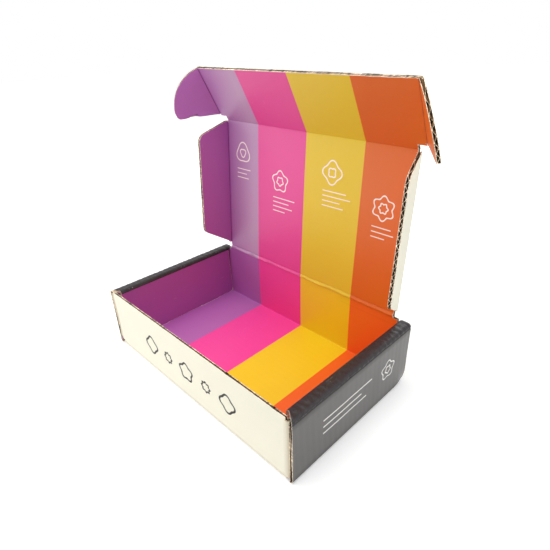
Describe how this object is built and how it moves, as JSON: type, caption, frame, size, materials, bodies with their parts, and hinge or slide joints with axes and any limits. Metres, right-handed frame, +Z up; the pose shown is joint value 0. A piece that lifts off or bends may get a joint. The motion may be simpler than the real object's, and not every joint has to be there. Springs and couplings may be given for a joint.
{
  "type": "corrugated mailer box",
  "caption": "Shallow corrugated mailer box, folded from one sheet, with double side walls and a hinged lid that has dust flaps, a tuck flap and locking ears.",
  "frame": {"origin": "middle of the tray's flat underside", "axes": "+Z up from the surface it stands on, +X along the front wall, +Y from the front wall to the hinged back wall"},
  "size_m": [0.293, 0.1607, 0.2616],
  "materials": {
    "tray_board": "printed corrugated board, cream outside front, black side walls, striped inside",
    "lid_board": "printed corrugated board with a satin varnish, four colour fields inside",
    "violet_board": "printed corrugated board with a satin varnish, violet inside",
    "orange_board": "printed corrugated board with a satin varnish, orange inside",
    "tuck_board": "printed corrugated board with a satin varnish, four colour fields inside"
  },
  "bodies": {
    "tray": {"tray": "tray_board"},
    "lid": {"lid": "lid_board"},
    "left_dust_flap": {"left_dust_flap": "violet_board"},
    "right_dust_flap": {"right_dust_flap": "orange_board"},
    "tuck_flap": {"tuck_flap": "tuck_board"},
    "left_ear": {"left_ear": "violet_board"},
    "right_ear": {"right_ear": "orange_board"}
  },
  "joints": [
    {"name": "lid_hinge", "type": "hinge", "parent": "tray", "child": "lid", "pos_m": [0, 0.0731, 0.0665], "axis": [-1, 0, 0], "range_deg": [-88, 86.5]},
    {"name": "left_dust_hinge", "type": "hinge", "parent": "lid", "child": "left_dust_flap", "pos_m": [-0.1104, 0.0731, 0.0665], "axis": [0, 0.061, 0.9981], "range_deg": [-90, 5]},
    {"name": "right_dust_hinge", "type": "hinge", "parent": "lid", "child": "right_dust_flap", "pos_m": [0.1104, 0.0731, 0.0665], "axis": [0, -0.061, -0.9981], "range_deg": [-30.5, 31]},
    {"name": "tuck_hinge", "type": "hinge", "parent": "lid", "child": "tuck_flap", "pos_m": [0, 0.08183, 0.20923], "axis": [1, 0, 0], "range_deg": [-31, 64]},
    {"name": "left_ear_hinge", "type": "hinge", "parent": "tuck_flap", "child": "left_ear", "pos_m": [-0.1181, 0.08183, 0.20923], "axis": [0, 0.4617, -0.887], "range_deg": [-43, 52]},
    {"name": "right_ear_hinge", "type": "hinge", "parent": "tuck_flap", "child": "right_ear", "pos_m": [0.1181, 0.08183, 0.20923], "axis": [0, -0.4617, 0.887], "range_deg": [-43, 52]}
  ],
  "couplings": [
    {"joint": "right_dust_hinge", "follows": "lid_hinge", "ratio": -0.35}
  ]
}
